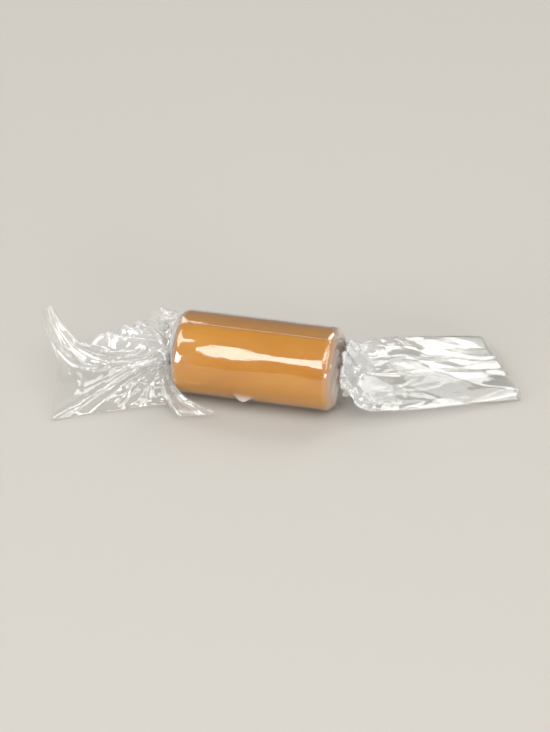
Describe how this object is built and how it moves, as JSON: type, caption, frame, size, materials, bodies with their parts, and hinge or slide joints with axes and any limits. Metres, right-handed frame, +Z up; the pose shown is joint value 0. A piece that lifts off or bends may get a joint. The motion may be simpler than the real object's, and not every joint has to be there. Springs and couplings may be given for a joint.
{
  "type": "wrapped caramel candy",
  "caption": "Round caramel log in a clear film wrapper twisted shut at both ends, with a pleated fan tail and a long flat tail.",
  "frame": {"origin": "middle of the small flat spot under the log that the candy rests on", "axes": "+X along the candy towards the long flat tail, +Z up, -Y the front that the fan tail turns to"},
  "size_m": [0.0757, 0.0365, 0.0142],
  "materials": {
    "caramel": "smooth, soft and slightly translucent caramel with a satin sheen",
    "clear_film": "clear glossy cellophane-like film, creased at the twists"
  },
  "bodies": {
    "root": {"caramel": "caramel", "wrapper": "clear_film"}
  },
  "joints": []
}
